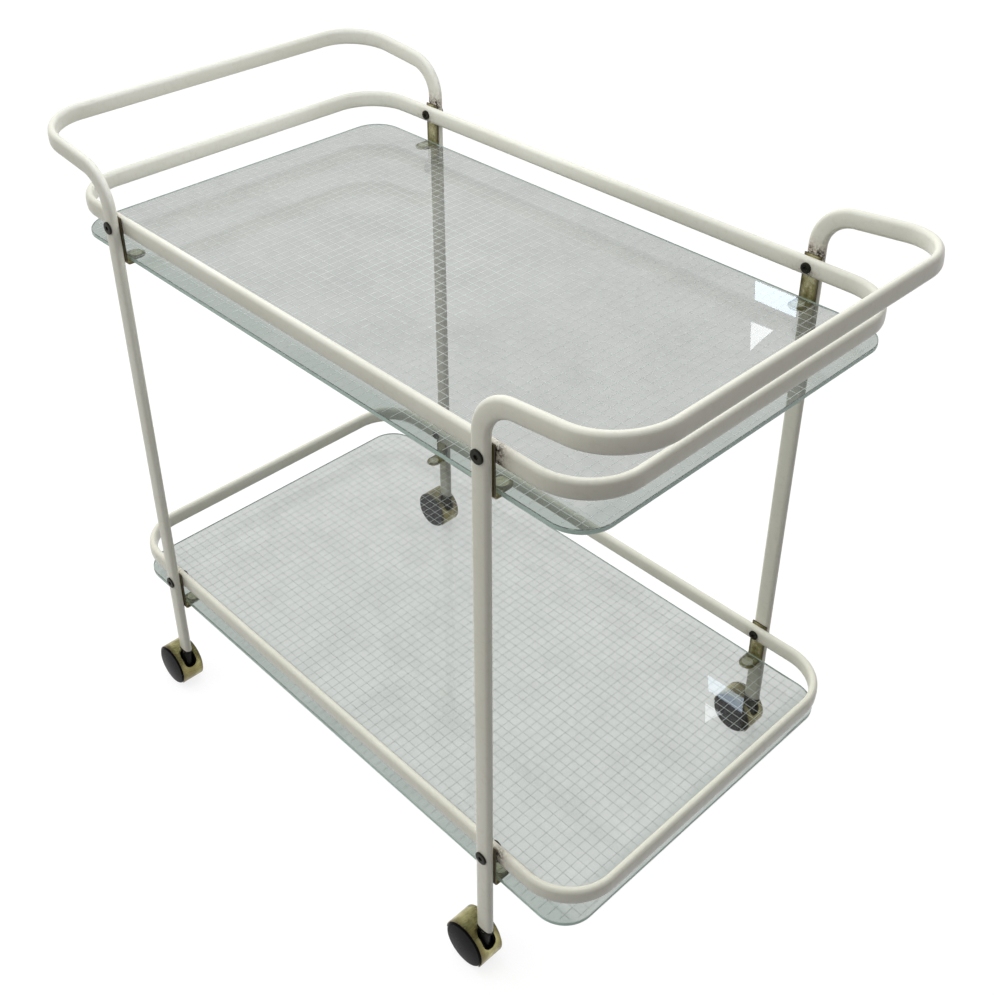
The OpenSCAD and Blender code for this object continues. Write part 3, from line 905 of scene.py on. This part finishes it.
def hood_part():
    """Band round the wheels with a pocket cut for the stem, in the axle's frame seen from -Y."""
    inner, outer = WHEEL_R + SIDE_GAP, WHEEL_R + SIDE_GAP + HOOD_T
    slot = POCKET_W / 2
    low_z = outer * math.sin(math.radians(POCKET_END)) + slot
    low, level = math.asin((low_z - slot) / outer), math.asin(low_z / outer)
    above, high = math.acos(TRAIL / outer), math.acos((TRAIL - slot) / outer)
    first, last = math.radians(-HOOD_FRONT), math.radians(180 - HOOD_REAR)
    # Stations of (angle, half the pocket's width there)
    stations = [(first + (low - first) * k / 20, 0.0) for k in range(20)]
    for k in range(17):
        t = math.pi / 2 * k / 16
        stations.append((math.asin((low_z - slot * math.cos(t)) / outer), slot * math.sin(t)))
    stations += [(level + (above - level) * k / 24, slot) for k in range(1, 24)]
    for k in range(17):
        t = math.pi / 2 * (1 - k / 16)
        stations.append((math.acos((TRAIL - slot * math.cos(t)) / outer), slot * math.sin(t)))
    stations += [(high + (last - high) * k / 70, 0.0) for k in range(1, 71)]
    across = 6
    loop = 2 * (across + 1)
    verts, faces = [], []
    for side in (1, -1):
        base = len(verts)
        for a, h in stations:
            for radius, order in ((outer, range(across + 1)), (inner, reversed(range(across + 1)))):
                for k in order:
                    y = side * (h + (HOOD_W / 2 - h) * k / across)
                    verts.append(Vector((radius * math.cos(a), y, radius * math.sin(a))))
        made = []
        for i in range(len(stations) - 1):
            walls = max(stations[i][1], stations[i + 1][1]) > 0
            for k in range(loop if walls else loop - 1):
                m = (k + 1) % loop
                made.append((base + i * loop + k, base + i * loop + m,
                             base + (i + 1) * loop + m, base + (i + 1) * loop + k))
        end = base + (len(stations) - 1) * loop
        made.append(tuple(base + k for k in reversed(range(loop))))
        made.append(tuple(end + k for k in range(loop)))
        faces += made if side > 0 else [tuple(reversed(f)) for f in made]
    return verts, faces


def weld(obj, distance):
    """Joins vertices that lie on each other."""
    mesh = bmesh.new()
    mesh.from_mesh(obj.data)
    bmesh.ops.remove_doubles(mesh, verts=mesh.verts, dist=distance)
    mesh.to_mesh(obj.data)
    mesh.free()


def bevelled(obj, width, segments, angle):
    """Rounds the sharp edges."""
    bevel = obj.modifiers.new("bevel", "BEVEL")
    bevel.width = width * MM
    bevel.segments = segments
    bevel.limit_method = "ANGLE"
    bevel.angle_limit = math.radians(angle)


wheel = wheel_part()
hood = hood_part()
for corner, (sx, sy) in CORNERS.items():
    axle = Matrix.Translation((sx * LEG_X - TRAIL, sy * LEG_Y, WHEEL_R))
    body = f"caster_{corner}"
    obj = new_object(f"caster_hood_band_{corner}", *placed(hood, axle))
    weld(obj, 1e-6)
    obj.data.set_sharp_from_angle(angle=math.radians(40))
    bevelled(obj, HOOD_EDGE, 2, 50)
    finish_piece(obj, body, "aged_brass", MAT_HOOD, f"caster_hood_{corner}")
    for place, side in (("outer", sy), ("inner", -sy)):
        turn = Matrix.Rotation(math.radians(-90 * side), 4, "X")
        seat = Matrix.Translation((0, 0, CORE_W / 2 + SIDE_GAP))
        disc = placed(wheel, axle @ turn @ seat)
        obj = new_object(f"{place}_wheel_disc_{corner}", *disc, sharp_angle=30)
        finish_piece(obj, f"{place}_wheel_{corner}", "black_wheel", MAT_WHEEL, f"{place}_wheel_{corner}")

CAD_MATERIALS = {
    "caster_core": MAT_CORE,
    "caster_stem": MAT_STEEL,
    "caster_axle": MAT_STEEL,
    "leg_plug": MAT_MATT,
    "upper_glass_pads": MAT_PAD,
    "lower_glass_pads": MAT_PAD,
}
for name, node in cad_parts.items():
    for start, material in CAD_MATERIALS.items():
        if name.startswith(start):
            node.data.materials.clear()
            node.data.materials.append(material)


# Floor, light and camera


# Soft lobes that add up to the sky: axis, cosines to it where the lobe starts and is full, and colour
SKY_OUT, SKY_UP = 0.85, 0.527
SKY = {
    "left": ((-SKY_OUT, 0, SKY_UP), 0.0, 0.9, (1.30, 1.31, 1.21)),
    "front": ((0, -SKY_OUT, SKY_UP), 0.0, 0.9, (0.18, 0.18, 0.18)),
    "right": ((SKY_OUT, 0, SKY_UP), 0.0, 0.9, (0.13, 0.13, 0.14)),
    "back": ((0, SKY_OUT, SKY_UP), 0.0, 0.9, (0.28, 0.27, 0.26)),
    "top": ((0, 0, 1), 0.2, 0.9, (0.06, 0.06, 0.06)),
}
OVERHEAD = 8.2
INNER_FILL = 0.5
FLOOR = (0.22, 0.22, 0.22)
FLOOR_GLOW = 0.83
HORIZON_GLOSS = 0.8
OVERHEAD_GLOSS = 0.4
FLOOR_HALF = 30000


def seen_white(m, plain, strength):
    """Adds white light to what the camera, gloss and glass see."""
    path = m.add("ShaderNodeLightPath").outputs
    seen = m.math("MAXIMUM", path["Is Camera Ray"], path["Is Glossy Ray"])
    seen = m.math("MAXIMUM", seen, path["Is Transmission Ray"])
    glow = m.node("ShaderNodeEmission", {"Strength": strength})[0]
    total = m.node("ShaderNodeAddShader", {0: plain, 1: glow})[0]
    return m.blend(seen, plain, total)


def studio_world():
    """The sky lights the cart, but the camera and glass see white, and gloss sees it dimmer overhead."""
    m = Nodes("studio", bpy.data.worlds, "ShaderNodeOutputWorld")
    direction = m.add("ShaderNodeTexCoord").outputs["Generated"]
    sky = black = (0.0, 0.0, 0.0)
    for axis, low, high, colour in SKY.values():
        toward = m.node("ShaderNodeVectorMath", {0: direction, 1: axis}, operation="DOT_PRODUCT")["Value"]
        lobe = m.mix(m.remap(toward, low, high, curve="SMOOTHSTEP"), black, colour)
        sky = m.mix(1.0, sky, lobe, "ADD")
    ambient = m.node("ShaderNodeBackground", {"Color": sky})[0]
    path = m.add("ShaderNodeLightPath").outputs
    seen = m.math("MAXIMUM", path["Is Camera Ray"], path["Is Transmission Ray"])
    dimmed = m.remap(m.axes(direction)["Z"], 0.1, 0.9, HORIZON_GLOSS, OVERHEAD_GLOSS)
    strength = m.math("MAXIMUM", seen, dimmed)
    white = m.node("ShaderNodeBackground", {"Color": (1.0, 1.0, 1.0), "Strength": strength})[0]
    return m.done(m.blend(m.math("MAXIMUM", seen, path["Is Glossy Ray"]), ambient, white))


floor_m = Nodes("studio_floor")
grain = floor_m.noise(floor_m.coords(), 3.0, 2.0)
floor_shader = floor_m.principled({
    "Base Color": floor_m.ramp(grain, (0.3, FLOOR), (0.7, shaded(FLOOR, 1.03))),
    "Roughness": 0.9,
    "Specular IOR Level": 0.0,
})
floor_corners = [(x * FLOOR_HALF, y * FLOOR_HALF, 0) for x, y in ((-1, -1), (1, -1), (1, 1), (-1, 1))]
floor = new_object("studio_floor", floor_corners, [(0, 1, 2, 3)])
floor.data.materials.append(floor_m.done(seen_white(floor_m, floor_shader, FLOOR_GLOW)))

bpy.context.scene.world = studio_world()


def area_light(name, at, toward, size, power, colour, spread=180):
    """Rectangular lamp, placed in metres, that neither the camera nor gloss sees."""
    data = bpy.data.lights.new(name, "AREA")
    data.shape = "RECTANGLE"
    data.size, data.size_y = size
    data.energy = power
    data.color = colour
    data.spread = math.radians(spread)
    obj = bpy.data.objects.new(name, data)
    obj.location = at
    obj.rotation_mode = "QUATERNION"
    obj.rotation_quaternion = (Vector(toward) - Vector(at)).to_track_quat("-Z", "Y")
    obj.visible_camera = False
    obj.visible_glossy = False
    bpy.context.collection.objects.link(obj)


area_light("overhead", (-0.1, -0.25, 2.0), (-0.05, -0.1, 0.4), (0.8, 0.6), OVERHEAD, (0.76, 0.84, 1.0))
# Lights the inner faces of the left handle and the left end of the rail
area_light(
    "inner_fill", (0.2, 0.0, 0.98), (-0.43, 0.0, 0.74), (0.25, 0.25),
    INNER_FILL, (0.95, 0.98, 1.0), spread=95,
)


WINDOW_Y = 1.08


def window_pane(name, corners, colour, strength):
    """A bright pane behind the cart that only shows as a reflection."""
    m = Nodes(name)
    glow = m.node("ShaderNodeEmission", {"Color": colour, "Strength": strength})[0]
    obj = new_object(name, [(x / MM, WINDOW_Y / MM, z / MM) for x, z in corners], [(0, 1, 2, 3)])
    obj.data.materials.append(m.done(glow))
    obj.visible_camera = False
    obj.visible_diffuse = False
    obj.visible_shadow = False
    obj.visible_transmission = False


pale = [(-0.303, 1.243), (-0.192, 1.242), (-0.193, 1.291), (-0.298, 1.290)]
white_corner = [(-0.301, 1.337), (-0.247, 1.334), (-0.270, 1.365), (-0.295, 1.403)]
window_pane("window_pale", pale, (0.72, 0.86, 1.0), 6.0)
window_pane("window_white", white_corner, (0.95, 0.97, 1.0), 5.0)

camera = bpy.data.objects.new("camera", bpy.data.cameras.new("camera"))
bpy.context.collection.objects.link(camera)
CAMERA_AT = (0.9865, -0.8936, 1.4254)
AZIMUTH, ELEVATION, ROLL = (math.radians(v) for v in (46.72, 32.58, -0.57))
back = Vector((
    math.sin(AZIMUTH) * math.cos(ELEVATION),
    -math.cos(AZIMUTH) * math.cos(ELEVATION),
    math.sin(ELEVATION),
))
level_right = (-back).cross(Vector((0, 0, 1))).normalized()
level_up = level_right.cross(-back)
cam_right = level_right * math.cos(ROLL) + level_up * math.sin(ROLL)
cam_up = -level_right * math.sin(ROLL) + level_up * math.cos(ROLL)
rotation = Matrix((cam_right, cam_up, back)).transposed()
camera.matrix_world = Matrix.Translation(CAMERA_AT) @ rotation.to_4x4()
# The photo's focal length and optical centre in its pixels, and its size
FOCAL_PX, CENTRE_X, CENTRE_Y, SHOT_W, SHOT_H = 1317.6, 477.44, 366.71, 994, 995
SENSOR_MM = 36.0
camera.data.sensor_fit = "HORIZONTAL"
camera.data.sensor_width = SENSOR_MM
camera.data.lens = FOCAL_PX / SHOT_W * SENSOR_MM
camera.data.shift_x = (SHOT_W / 2 - CENTRE_X) / SHOT_W
camera.data.shift_y = -(SHOT_H / 2 - CENTRE_Y) / SHOT_W
bpy.context.scene.camera = camera
bpy.context.scene.view_settings.view_transform = "Standard"
